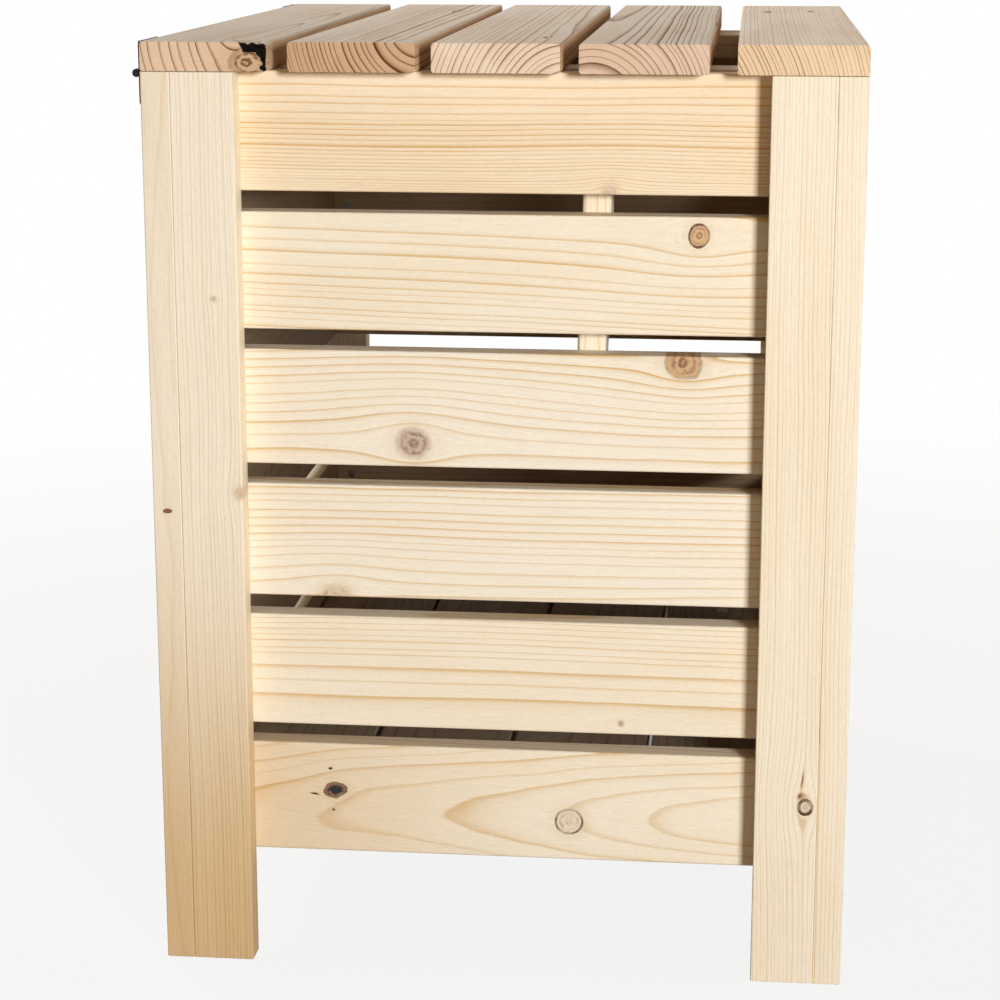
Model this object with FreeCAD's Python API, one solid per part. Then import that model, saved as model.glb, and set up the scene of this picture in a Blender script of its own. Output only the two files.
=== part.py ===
import FreeCAD, Part
import math
import os

# Slatted wooden storage box with a hinged slatted lid and a swinging lid prop.
# While it is drawn, X runs from the back face to the front, Y from the left end to the
# right end and Z up from the ground. Left and right are as seen from the front.
# The finished part is then moved so that the middle of its outline stands on the origin.

# Timber
board_thickness = 22.0
lath_width = 48.0
edge_chamfer = 1.8

# Box
length = 640.0
foot_height = 87.0
wall_slat_count = 6
wall_slat_width = 90.0
wall_slat_gap = 15.5
side_lap = 26.0

# Lid
lid_slat_width = 95.0
lid_spare_width = 61.0
lid_gap_shares = (0.26, 0.19, 0.22, 0.33)
lid_seat_gap = 0.3
batten_set_in = 16.0
batten_end_gap = 6.0

# Floor
floor_board_count = 4
floor_gap = 4.0
floor_edge_gap = 2.0

# Lid prop
prop_depth = 38.0
prop_reach = 235.0
prop_place_share = 0.632
prop_drop = 52.0
prop_lean_degrees = 1.6
prop_play = 0.3
prop_screw_radius = 2.5
prop_screw_bite = 17.0
prop_hole_clearance = 0.1
prop_head_radius = 6.0
prop_head_height = 3.2
prop_corner_cut = 7.0

# Hinges
hinge_length = 60.0
hinge_inset = 4.0
hinge_drop = 1.6
leaf_height = 23.5
leaf_thickness = 1.6
leaf_corner_round = 3.0
leaf_hole_height = 12.5
leaf_hole_shares = (0.22, 0.78)
knuckle_count = 5
knuckle_gap = 0.3
hinge_face_gap = 0.3
pin_radius = 1.5
pin_clearance = 0.05
pin_stand_out = 0.6

# Wood screws and the smaller screws of the hinges, drawn with few flat sides
screw_side_count = 6
wood_screw_radius = 2.0
wood_screw_head_radius = 4.0
wood_screw_length = 38.0
wood_screw_tip = 5.0
corner_screw_length = 50.0
hinge_screw_radius = 1.75
hinge_screw_head_radius = 3.5
hinge_screw_length = 16.0
hinge_screw_tip = 4.0
hinge_screw_clearance = 0.1
slat_screw_shares = (0.25, 0.75)
ledger_screw_shares = (0.15, 0.5, 0.85)
corner_screw_shares = (0.1, 0.5, 0.9)

cut_overrun = 1.0

# Worked out from the sizes above
half_share = 0.5
lid_slat_count = len(lid_gap_shares) + 1
depth = lid_slat_count * lid_slat_width + lid_spare_width
wall_slat_pitch = wall_slat_width + wall_slat_gap
post_height = foot_height + wall_slat_count * wall_slat_pitch - wall_slat_gap
inner_face = 2 * board_thickness
side_board_width = inner_face + side_lap
lid_underside = post_height + lid_seat_gap
lid_top = lid_underside + board_thickness
knuckle_radius = pin_radius + leaf_thickness
pin_offset = knuckle_radius + hinge_face_gap
pin_height = lid_underside - hinge_drop
hinge_reach = pin_offset + knuckle_radius
floor_seat = foot_height + lath_width

along_x = FreeCAD.Vector(1, 0, 0)
along_y = FreeCAD.Vector(0, 1, 0)
along_z = FreeCAD.Vector(0, 0, 1)
to_origin = FreeCAD.Vector((hinge_reach - depth) / 2, -length / 2, 0)

parts = {}


def board(corner, size, grain):
    """A planed board: a block whose four edges along the grain are bevelled."""
    block = Part.makeBox(size[0], size[1], size[2], FreeCAD.Vector(*corner))
    long_edges = []
    for edge in block.Edges:
        run = edge.Vertexes[1].Point - edge.Vertexes[0].Point
        if run.cross(grain).Length < run.Length * half_share:
            long_edges.append(edge)
    return block.makeChamfer(min(edge_chamfer, min(size) / 4), long_edges)


def across_depth(shape):
    """The same piece on the other long side of the box."""
    return shape.mirror(FreeCAD.Vector(depth / 2, 0, 0), along_x)


def across_length(shape):
    """The same piece at the other end of the box."""
    return shape.mirror(FreeCAD.Vector(0, length / 2, 0), along_y)


def turned_profile(points):
    """A solid of revolution about Z from its half outline, given as radius and height."""
    corners = [FreeCAD.Vector(radius, 0, height) for radius, height in points]
    outline = Part.makePolygon(corners + [corners[0]])
    return Part.Face(outline).revolve(FreeCAD.Vector(0, 0, 0), along_z, 360)


def flat_face(corners):
    """A flat face through corners given in order."""
    return Part.Face(Part.makePolygon(corners + [corners[0]]))


def ring_of_corners(radius, height):
    """The corners of a level ring about Z, one for each flat side of a screw."""
    corners = []
    for side in range(screw_side_count):
        angle = 2 * math.pi * side / screw_side_count
        corners.append(FreeCAD.Vector(radius * math.cos(angle), radius * math.sin(angle), height))
    return corners


def countersunk_screw(shank, head, whole, tip):
    """A countersunk screw whose flat head lies at zero height and whose point is below."""
    rings = [
        ring_of_corners(head, 0),
        ring_of_corners(shank, shank - head),
        ring_of_corners(shank, tip - whole),
    ]
    point = FreeCAD.Vector(0, 0, -whole)
    faces = [flat_face(rings[0])]
    for side in range(screw_side_count):
        after = (side + 1) % screw_side_count
        for upper, lower in zip(rings, rings[1:]):
            faces.append(flat_face([upper[side], lower[side], lower[after], upper[after]]))
        faces.append(flat_face([rings[-1][side], point, rings[-1][after]]))
    return Part.makeSolid(Part.makeShell(faces))


def driven(screw, place, direction):
    """A screw put in with its head at a place, pointing along a direction."""
    copy = screw.copy()
    turn = FreeCAD.Rotation(along_z * -1, direction)
    copy.Placement = FreeCAD.Placement(FreeCAD.Vector(*place), turn)
    return copy


def slat_bottom(row):
    """Height of the lower edge of a wall slat, counted from the top row."""
    return post_height - wall_slat_width - row * wall_slat_pitch


def make_corner_posts():
    """Each corner is an L of two boards: a lath on the end face and a board on the side."""
    lath = board(
        (board_thickness, 0, 0),
        (lath_width, board_thickness, post_height),
        along_z,
    )
    side = board(
        (0, 0, 0),
        (board_thickness, side_board_width, post_height),
        along_z,
    )
    for name, piece in (("end_lath", lath), ("corner_board", side)):
        parts[name + "_back_left"] = piece
        parts[name + "_front_left"] = across_depth(piece)
        parts[name + "_back_right"] = across_length(piece)
        parts[name + "_front_right"] = across_length(across_depth(piece))


def make_wall_slats():
    """Six slats behind the laths of each end, and six behind the boards of each side."""
    end_run = depth - 2 * board_thickness
    side_run = length - 2 * inner_face
    for row in range(wall_slat_count):
        number = str(row + 1)
        low = slat_bottom(row)
        end_slat = board(
            (board_thickness, board_thickness, low),
            (end_run, board_thickness, wall_slat_width),
            along_x,
        )
        side_slat = board(
            (board_thickness, inner_face, low),
            (board_thickness, side_run, wall_slat_width),
            along_y,
        )
        parts["left_end_slat_" + number] = end_slat
        parts["right_end_slat_" + number] = across_length(end_slat)
        parts["back_slat_" + number] = side_slat
        parts["front_slat_" + number] = across_depth(side_slat)


def make_wall_screws():
    """Two screws at each end of each slat, driven from inside into the corner posts."""
    screw = countersunk_screw(
        wood_screw_radius, wood_screw_head_radius, wood_screw_length, wood_screw_tip
    )
    lath_line = (inner_face + board_thickness + lath_width) / 2
    board_line = (inner_face + side_board_width) / 2
    screws = []
    for row in range(wall_slat_count):
        for share in slat_screw_shares:
            high = slat_bottom(row) + share * wall_slat_width
            at_end = driven(screw, (lath_line, inner_face, high), along_y * -1)
            at_side = driven(screw, (inner_face, board_line, high), along_x * -1)
            for one in (at_end, at_side):
                screws.append(one)
                screws.append(across_depth(one))
                screws.append(across_length(one))
                screws.append(across_length(across_depth(one)))
    parts["wall_screws"] = Part.makeCompound(screws)


def make_corner_screws():
    """Screws through each side board into the edge of the lath beside it."""
    screw = countersunk_screw(
        wood_screw_radius, wood_screw_head_radius, corner_screw_length, wood_screw_tip
    )
    screws = []
    for share in corner_screw_shares:
        place = (0, board_thickness / 2, share * post_height)
        one = driven(screw, place, along_x)
        screws.append(one)
        screws.append(across_depth(one))
        screws.append(across_length(one))
        screws.append(across_length(across_depth(one)))
    parts["corner_screws"] = Part.makeCompound(screws)


def make_floor():
    """Floor boards along the box, on a ledger lath across the lowest slat of each end."""
    room = depth - 2 * inner_face - 2 * floor_edge_gap
    start = inner_face + floor_edge_gap
    ledger = board(
        (start, inner_face, foot_height),
        (room, board_thickness, lath_width),
        along_x,
    )
    parts["floor_ledger_left"] = ledger
    parts["floor_ledger_right"] = across_length(ledger)
    width = (room - (floor_board_count - 1) * floor_gap) / floor_board_count
    run = length - 2 * inner_face - 2 * floor_edge_gap
    screw = countersunk_screw(
        wood_screw_radius, wood_screw_head_radius, wood_screw_length, wood_screw_tip
    )
    ledger_line = inner_face + board_thickness / 2
    screws = []
    for column in range(floor_board_count):
        left = start + column * (width + floor_gap)
        parts["floor_board_" + str(column + 1)] = board(
            (left, inner_face + floor_edge_gap, floor_seat),
            (width, run, board_thickness),
            along_y,
        )
        place = (left + width / 2, ledger_line, floor_seat + board_thickness)
        screws.append(driven(screw, place, along_z * -1))
    for share in ledger_screw_shares:
        place = (start + share * room, inner_face + board_thickness, foot_height + lath_width / 2)
        screws.append(driven(screw, place, along_y * -1))
    screws = screws + [across_length(one) for one in screws]
    parts["floor_screws"] = Part.makeCompound(screws)


def lid_slat_places():
    """Back edge of each lid slat, with the unevenly shared gaps between them."""
    places = [0]
    for share in lid_gap_shares:
        places.append(places[-1] + lid_slat_width + share * lid_spare_width)
    return places


def make_lid():
    """Five slats along the box, held by a flat batten across them inside each end."""
    batten_start = inner_face + batten_end_gap
    batten_stop = depth - batten_start
    batten_near = inner_face + batten_set_in
    batten_low = lid_underside - board_thickness
    batten = board(
        (batten_start, batten_near, batten_low),
        (batten_stop - batten_start, lath_width, board_thickness),
        along_x,
    )
    parts["lid_batten_left"] = batten
    parts["lid_batten_right"] = across_length(batten)
    screw = countersunk_screw(
        wood_screw_radius, wood_screw_head_radius, wood_screw_length, wood_screw_tip
    )
    screws = []
    for column, left in enumerate(lid_slat_places()):
        parts["lid_slat_" + str(column + 1)] = board(
            (left, 0, lid_underside),
            (lid_slat_width, length, board_thickness),
            along_y,
        )
        cross_start = max(left, batten_start)
        cross_stop = min(left + lid_slat_width, batten_stop)
        for share in slat_screw_shares:
            across = cross_start + share * (cross_stop - cross_start)
            along = batten_near + share * lath_width
            one = driven(screw, (across, along, batten_low), along_z)
            screws.append(one)
            screws.append(across_length(one))
    parts["lid_screws"] = Part.makeCompound(screws)


def make_prop():
    """A stick that swings on a screw in the top slat of the left end and holds the lid up."""
    near = inner_face + prop_play
    pivot = FreeCAD.Vector(prop_place_share * depth, near, post_height - prop_drop)
    left = pivot.x - board_thickness / 2
    top = pivot.z + board_thickness / 2
    stick = board(
        (left, near, pivot.z - prop_reach),
        (board_thickness, prop_depth, board_thickness / 2 + prop_reach),
        along_z,
    )
    right = left + board_thickness
    start = near - cut_overrun
    sweep = along_y * (prop_depth + 2 * cut_overrun)
    for outer, inner in ((left, left + prop_corner_cut), (right, right - prop_corner_cut)):
        corner = [
            FreeCAD.Vector(outer, start, top),
            FreeCAD.Vector(inner, start, top),
            FreeCAD.Vector(outer, start, top - prop_corner_cut),
        ]
        stick = stick.cut(flat_face(corner).extrude(sweep))
    hole = Part.makeCylinder(
        prop_screw_radius + prop_hole_clearance,
        prop_depth + 2 * cut_overrun,
        pivot - along_y * cut_overrun,
        along_y,
    )
    stick = stick.cut(hole).Solids[0]
    stick.rotate(pivot, along_y, prop_lean_degrees)
    parts["lid_prop"] = stick

    head_seat = near + prop_depth + prop_play
    grip = head_seat - inner_face + prop_screw_bite
    screw_points = [
        (0, prop_head_height),
        (prop_head_radius, prop_head_height),
        (prop_head_radius, 0),
        (prop_screw_radius, 0),
        (prop_screw_radius, -grip),
        (0, -grip),
    ]
    screw = turned_profile(screw_points)
    parts["prop_screw"] = driven(screw, (pivot.x, head_seat, pivot.z), along_y * -1)


def knuckle_spans():
    """Start and stop of each knuckle along the hinge, with a running gap between them."""
    pitch = (hinge_length + knuckle_gap) / knuckle_count
    return [(number * pitch, (number + 1) * pitch - knuckle_gap) for number in range(knuckle_count)]


def hinge_leaf(spans):
    """A leaf that stands above the pin, with knuckles rolled from its lower edge.

    The pin lies along Y through zero. The leaf's back face, which goes against the wood,
    looks along +X, and the screw holes are sunk into the face that looks along -X.
    """
    back = pin_offset
    face = back - leaf_thickness
    root = knuckle_radius + knuckle_gap
    plate = Part.makeBox(
        leaf_thickness,
        hinge_length,
        leaf_height - root,
        FreeCAD.Vector(face, 0, root),
    )
    corners = []
    for edge in plate.Edges:
        middle = edge.CenterOfMass
        across = (edge.Vertexes[1].Point - edge.Vertexes[0].Point).cross(along_x).Length
        if across < leaf_thickness * half_share and middle.z > leaf_height * half_share:
            corners.append(edge)
    leaf = plate.makeFillet(leaf_corner_round, corners)
    for start, stop in spans:
        tab = Part.makeBox(
            leaf_thickness - hinge_face_gap,
            stop - start,
            root + leaf_thickness,
            FreeCAD.Vector(face, start, 0),
        )
        roll = Part.makeCylinder(
            knuckle_radius, stop - start, FreeCAD.Vector(0, start, 0), along_y
        )
        leaf = leaf.fuse([tab, roll])
    bore = Part.makeCylinder(
        pin_radius + pin_clearance,
        hinge_length + 2 * cut_overrun,
        FreeCAD.Vector(0, -cut_overrun, 0),
        along_y,
    )
    leaf = leaf.cut(bore).removeSplitter()
    for share in leaf_hole_shares:
        place = FreeCAD.Vector(face, share * hinge_length, leaf_hole_height)
        leaf = leaf.cut(leaf_screw_hole(place))
    return leaf.Solids[0]


def leaf_screw_hole(place):
    """A countersunk hole for a hinge screw, sunk from the leaf's outer face."""
    wide = hinge_screw_head_radius + hinge_screw_clearance
    narrow = hinge_screw_radius + hinge_screw_clearance
    points = [
        (0, cut_overrun),
        (wide, cut_overrun),
        (wide, 0),
        (narrow, narrow - wide),
        (narrow, -leaf_thickness - cut_overrun),
        (0, -leaf_thickness - cut_overrun),
    ]
    return driven(turned_profile(points), place, along_x)


def make_hinges():
    """A butt hinge on each back corner, one leaf on the box and one on the lid's back edge."""
    spans = knuckle_spans()
    box_spans = spans[0::2]
    lid_spans = spans[1::2]
    at_pin = FreeCAD.Vector(-pin_offset, hinge_inset, pin_height)

    lid_leaf = hinge_leaf(lid_spans)
    lid_leaf.translate(at_pin)
    box_leaf = hinge_leaf(box_spans).mirror(FreeCAD.Vector(0, 0, 0), along_z)
    box_leaf.translate(at_pin)

    pin_low = hinge_inset - pin_stand_out
    pin = Part.makeCylinder(
        pin_radius,
        hinge_length + 2 * pin_stand_out,
        FreeCAD.Vector(-pin_offset, pin_low, pin_height),
        along_y,
    )

    screw = countersunk_screw(
        hinge_screw_radius, hinge_screw_head_radius, hinge_screw_length, hinge_screw_tip
    )
    lid_screws = []
    box_screws = []
    for share in leaf_hole_shares:
        along = hinge_inset + share * hinge_length
        lid_place = (-leaf_thickness, along, pin_height + leaf_hole_height)
        box_place = (-leaf_thickness, along, pin_height - leaf_hole_height)
        lid_screws.append(driven(screw, lid_place, along_x))
        box_screws.append(driven(screw, box_place, along_x))

    parts["hinge_box_leaf_left"] = box_leaf
    parts["hinge_box_leaf_right"] = across_length(box_leaf)
    parts["hinge_lid_leaf_left"] = lid_leaf
    parts["hinge_lid_leaf_right"] = across_length(lid_leaf)
    parts["hinge_pins"] = Part.makeCompound([pin, across_length(pin)])
    far_box_screws = [across_length(one) for one in box_screws]
    far_lid_screws = [across_length(one) for one in lid_screws]
    parts["hinge_box_screws"] = Part.makeCompound(box_screws + far_box_screws)
    parts["hinge_lid_screws"] = Part.makeCompound(lid_screws + far_lid_screws)


make_corner_posts()
make_wall_slats()
make_wall_screws()
make_corner_screws()
make_floor()
make_lid()
make_prop()
make_hinges()

os.makedirs("parts", exist_ok=True)
for name, shape in parts.items():
    placed = shape.copy()
    placed.translate(to_origin)
    placed.exportStep("parts/" + name + ".step")

print("pieces", len(parts))
print("pin x", to_origin.x - pin_offset, "pin z", pin_height, "depth", depth, "height", lid_top)
print("prop pivot x", prop_place_share * depth + to_origin.x, "z", post_height - prop_drop)
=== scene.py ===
import math
import random

import bmesh
import bpy
from mathutils import Matrix, Vector, noise as rough_field


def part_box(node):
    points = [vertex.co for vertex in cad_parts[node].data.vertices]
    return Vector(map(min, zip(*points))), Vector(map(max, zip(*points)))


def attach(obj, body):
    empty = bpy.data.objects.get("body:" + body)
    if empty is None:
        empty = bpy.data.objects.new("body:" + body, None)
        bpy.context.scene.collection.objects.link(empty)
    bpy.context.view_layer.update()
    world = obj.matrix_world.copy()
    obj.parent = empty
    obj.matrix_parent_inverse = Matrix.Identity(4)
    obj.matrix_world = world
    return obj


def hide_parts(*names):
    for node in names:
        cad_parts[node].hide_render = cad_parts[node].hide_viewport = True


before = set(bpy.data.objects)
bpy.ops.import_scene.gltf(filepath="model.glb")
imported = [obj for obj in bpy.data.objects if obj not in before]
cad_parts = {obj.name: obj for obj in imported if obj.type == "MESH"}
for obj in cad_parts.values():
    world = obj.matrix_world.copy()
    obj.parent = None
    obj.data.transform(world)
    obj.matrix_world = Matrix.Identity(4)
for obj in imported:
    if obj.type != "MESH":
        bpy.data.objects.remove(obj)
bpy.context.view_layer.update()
bpy.context.scene.view_settings.view_transform = "Standard"


# Corner posts: each corner is an L of two planed spruce boards screwed together, a lath on the
# end face and a wider board on the long side. The long edges are eased with a small round, and
# the sawn ends are left nearly sharp, so a dark seam shows where the two boards meet.
post_round = 0.001
sawn_edge = 0.0004
edge_segments = 4
along_x = Vector((1, 0, 0))
along_y = Vector((0, 1, 0))
along_z = Vector((0, 0, 1))


def planed_board(node, grain, edge_round):
    """A board in the place of a CAD board, with rounded long edges and sawn ends."""
    low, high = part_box(node)
    form = bmesh.new()
    bmesh.ops.create_cube(form, size=1.0)
    bmesh.ops.scale(form, vec=high - low, verts=form.verts)
    bmesh.ops.translate(form, vec=(low + high) / 2, verts=form.verts)
    long_edges = []
    for edge in form.edges:
        run = edge.verts[1].co - edge.verts[0].co
        if abs(run.normalized().dot(grain)) > 0.9:
            long_edges.append(edge)
    bmesh.ops.bevel(
        form,
        geom=long_edges,
        offset=edge_round,
        segments=edge_segments,
        profile=0.5,
        affect="EDGES",
        material=-1,
    )
    end_edges = []
    for edge in form.edges:
        if any(abs(face.normal.dot(grain)) > 0.9 for face in edge.link_faces):
            end_edges.append(edge)
    bmesh.ops.bevel(
        form,
        geom=end_edges,
        offset=sawn_edge,
        segments=1,
        profile=0.5,
        affect="EDGES",
        material=-1,
    )
    return form


def finish_piece(name, form, material, body, nodes):
    """Turns a form into a smooth shaded piece that rides on a body and stands for CAD nodes."""
    for face in form.faces:
        face.smooth = True
    mesh = bpy.data.meshes.new(name)
    form.to_mesh(mesh)
    form.free()
    mesh.materials.append(material)
    piece = bpy.data.objects.new(name, mesh)
    bpy.context.scene.collection.objects.link(piece)
    flats = piece.modifiers.new("flats", "WEIGHTED_NORMAL")
    flats.keep_sharp = True
    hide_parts(*nodes)
    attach(piece, body)
    return piece


def add_node(tree, kind, *feeds, **settings):
    """Adds a node and gives its inputs in order: a socket is linked, a value is set."""
    node = tree.nodes.new(kind)
    for key, value in settings.items():
        setattr(node, key, value)
    for place, feed in enumerate(feeds):
        if isinstance(feed, bpy.types.NodeSocket):
            tree.links.new(feed, node.inputs[place])
        elif feed is not None:
            node.inputs[place].default_value = feed
    return node


def sums(tree, operation, *feeds):
    """The result of one step of arithmetic on numbers."""
    return add_node(tree, "ShaderNodeMath", *feeds, operation=operation).outputs[0]


def vectors(tree, operation, *feeds):
    """The result of one step of arithmetic on vectors."""
    return add_node(tree, "ShaderNodeVectorMath", *feeds, operation=operation).outputs[0]


def ramp(tree, feed, low, high, out_low=0.0, out_high=1.0):
    """A smooth step of a number from one value to another."""
    step = add_node(
        tree, "ShaderNodeMapRange", feed, low, high, out_low, out_high, interpolation_type="SMOOTHSTEP"
    )
    return step.outputs[0]


def blend_colours(tree, share, first, second, kind="MIX"):
    """A mix of two colours by a share."""
    mix = tree.nodes.new("ShaderNodeMix")
    mix.data_type = "RGBA"
    mix.blend_type = kind
    for socket, feed in ((mix.inputs[0], share), (mix.inputs[6], first), (mix.inputs[7], second)):
        if isinstance(feed, bpy.types.NodeSocket):
            tree.links.new(feed, socket)
        else:
            socket.default_value = feed
    return mix.outputs[2]


def noise(tree, place, scale, detail, rough=0.5):
    """A noise texture at a place."""
    texture = tree.nodes.new("ShaderNodeTexNoise")
    tree.links.new(place, texture.inputs["Vector"])
    texture.inputs["Scale"].default_value = scale
    texture.inputs["Detail"].default_value = detail
    texture.inputs["Roughness"].default_value = rough
    return texture


def new_group(name, inputs, outputs):
    """An empty node group with named sockets, and its input and output nodes."""
    tree = bpy.data.node_groups.new(name, "ShaderNodeTree")
    for label, kind in inputs:
        tree.interface.new_socket(label, in_out="INPUT", socket_type="NodeSocket" + kind)
    for label, kind in outputs:
        tree.interface.new_socket(label, in_out="OUTPUT", socket_type="NodeSocket" + kind)
    start = tree.nodes.new("NodeGroupInput").outputs
    end = tree.nodes.new("NodeGroupOutput").inputs
    return tree, start, end


def make_knot_flow():
    """Grain that parts round a knot, as water does round a post, in millimetres on the board."""
    tree, start, end = new_group(
        "grain round a knot",
        [
            ("Grain", "Vector"),
            ("Place", "Vector"),
            ("Radius", "Float"),
            ("Stretch", "Float"),
            ("Reach", "Float"),
            ("Ragged", "Float"),
        ],
        [("Grain", "Vector"), ("Distance", "Float")],
    )
    from_knot = vectors(tree, "SUBTRACT", start["Grain"], start["Place"])
    away = add_node(tree, "ShaderNodeSeparateXYZ", from_knot)
    along = sums(tree, "MULTIPLY", away.outputs[0], 0.55)
    across = away.outputs[1]
    square = sums(tree, "ADD", sums(tree, "MULTIPLY", along, along), sums(tree, "MULTIPLY", across, across))
    reach = sums(tree, "MULTIPLY", start["Radius"], start["Reach"])
    reach_square = sums(tree, "MULTIPLY", reach, reach)
    part = sums(tree, "DIVIDE", reach_square, sums(tree, "MULTIPLY_ADD", reach_square, 0.9, square))
    push = sums(tree, "MULTIPLY", across, part)
    shift = add_node(tree, "ShaderNodeCombineXYZ", 0.0, push, 0.0)
    tree.links.new(vectors(tree, "SUBTRACT", start["Grain"], shift.outputs[0]), end["Grain"])
    width = sums(tree, "MULTIPLY", start["Radius"], start["Stretch"])
    flat = add_node(
        tree,
        "ShaderNodeCombineXYZ",
        sums(tree, "DIVIDE", away.outputs[0], width),
        sums(tree, "DIVIDE", away.outputs[1], start["Radius"]),
        0.0,
    )
    spot = vectors(tree, "MULTIPLY_ADD", start["Place"], (0.37, 0.37, 0.37), flat.outputs[0])
    wobble = noise(tree, spot, 0.9, 3.0, 0.6)
    sway = vectors(tree, "SUBTRACT", wobble.outputs["Color"], (0.5, 0.5, 0.5))
    amount = add_node(tree, "ShaderNodeCombineXYZ", start["Ragged"], start["Ragged"], 0.0).outputs[0]
    ragged = vectors(tree, "MULTIPLY_ADD", sway, amount, flat.outputs[0])
    length = add_node(tree, "ShaderNodeVectorMath", ragged, operation="LENGTH").outputs["Value"]
    tree.links.new(length, end["Distance"])
    return tree


def make_ring_wood():
    """Growth rings about a pith line beside the board, fine fibres and a slow change of tone."""
    tree, start, end = new_group(
        "growth rings",
        [
            ("Grain", "Vector"),
            ("Pith", "Vector"),
            ("Slope", "Vector"),
            ("Rings", "Float"),
            ("Crowding", "Float"),
            ("Wave", "Float"),
            ("Band", "Float"),
            ("Seed", "Float"),
        ],
        [("Late", "Float"), ("Fibre", "Float"), ("Tone", "Float"), ("Speck", "Float")],
    )
    seed = add_node(tree, "ShaderNodeCombineXYZ", start["Seed"], start["Seed"], start["Seed"]).outputs[0]
    slow = vectors(tree, "MULTIPLY_ADD", start["Grain"], (0.0036, 0.011, 0.011), seed)
    quick = vectors(tree, "MULTIPLY_ADD", start["Grain"], (0.014, 0.04, 0.04), seed)
    bend = vectors(tree, "SUBTRACT", noise(tree, slow, 1.0, 1.0).outputs["Color"], (0.5, 0.5, 0.5))
    ripple = vectors(tree, "SUBTRACT", noise(tree, quick, 1.0, 1.0).outputs["Color"], (0.5, 0.5, 0.5))
    sway = vectors(tree, "MULTIPLY_ADD", ripple, (0.16, 0.16, 0.16), bend)
    wave = add_node(tree, "ShaderNodeCombineXYZ", 0.0, start["Wave"], start["Wave"]).outputs[0]
    swayed = vectors(tree, "MULTIPLY_ADD", sway, wave, start["Grain"])
    strand = vectors(tree, "MULTIPLY_ADD", swayed, (0.03, 1.1, 1.1), seed)
    fibre = noise(tree, strand, 1.0, 3.0, 0.6).outputs["Fac"]
    tree.links.new(fibre, end["Fibre"])
    tone = vectors(tree, "MULTIPLY_ADD", swayed, (0.004, 0.025, 0.025), seed)
    tone = noise(tree, tone, 1.0, 2.0).outputs["Fac"]
    tree.links.new(tone, end["Tone"])
    run = add_node(tree, "ShaderNodeSeparateXYZ", start["Grain"]).outputs[0]
    lean = add_node(tree, "ShaderNodeVectorMath", start["Slope"], operation="SCALE")
    tree.links.new(run, lean.inputs["Scale"])
    axis = vectors(tree, "ADD", start["Pith"], lean.outputs[0])
    from_pith = vectors(tree, "MULTIPLY", vectors(tree, "SUBTRACT", swayed, axis), (0.0, 1.0, 1.0))
    radius = add_node(tree, "ShaderNodeVectorMath", from_pith, operation="LENGTH").outputs["Value"]
    radius = sums(tree, "MULTIPLY_ADD", fibre, 0.3, radius)
    growth = sums(tree, "MULTIPLY_ADD", radius, start["Crowding"], start["Rings"])
    count = sums(tree, "MULTIPLY", radius, growth)
    year = add_node(tree, "ShaderNodeCombineXYZ", sums(tree, "MULTIPLY", count, 0.6), start["Seed"], 0.0)
    uneven = noise(tree, year.outputs[0], 1.0, 0.0).outputs["Fac"]
    count = sums(tree, "MULTIPLY_ADD", uneven, 1.1, count)
    season = sums(tree, "FRACT", count)
    whole = sums(tree, "FLOOR", count)
    dice = tree.nodes.new("ShaderNodeTexWhiteNoise")
    dice.noise_dimensions = "2D"
    pair = add_node(tree, "ShaderNodeCombineXYZ", whole, start["Seed"], 0.0)
    tree.links.new(pair.outputs[0], dice.inputs["Vector"])
    onset = sums(tree, "MULTIPLY_ADD", dice.outputs["Value"], 0.4, 0.35)
    rise = add_node(tree, "ShaderNodeMapRange", season, onset, 0.95, 0.0, 1.0).outputs[0]
    rise = sums(tree, "POWER", rise, 1.6)
    line = ramp(tree, season, 0.76, 0.93)
    thin = sums(tree, "MULTIPLY", line, sums(tree, "SUBTRACT", 1.0, start["Band"]))
    profile = sums(tree, "MULTIPLY_ADD", rise, start["Band"], thin)
    fall = ramp(tree, season, 0.945, 1.0, 1.0, 0.0)
    weight = sums(tree, "MULTIPLY_ADD", dice.outputs["Value"], -0.5, 1.0)
    weight = sums(tree, "MULTIPLY", weight, ramp(tree, tone, 0.3, 0.7, 0.75, 1.1))
    late = sums(tree, "MULTIPLY", sums(tree, "MULTIPLY", profile, fall), weight)
    tree.links.new(late, end["Late"])
    dash = vectors(tree, "MULTIPLY_ADD", swayed, (0.09, 0.9, 0.9), seed)
    fleck = noise(tree, dash, 1.0, 1.0).outputs["Fac"]
    tree.links.new(ramp(tree, fleck, 0.68, 0.76), end["Speck"])
    return tree


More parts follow.
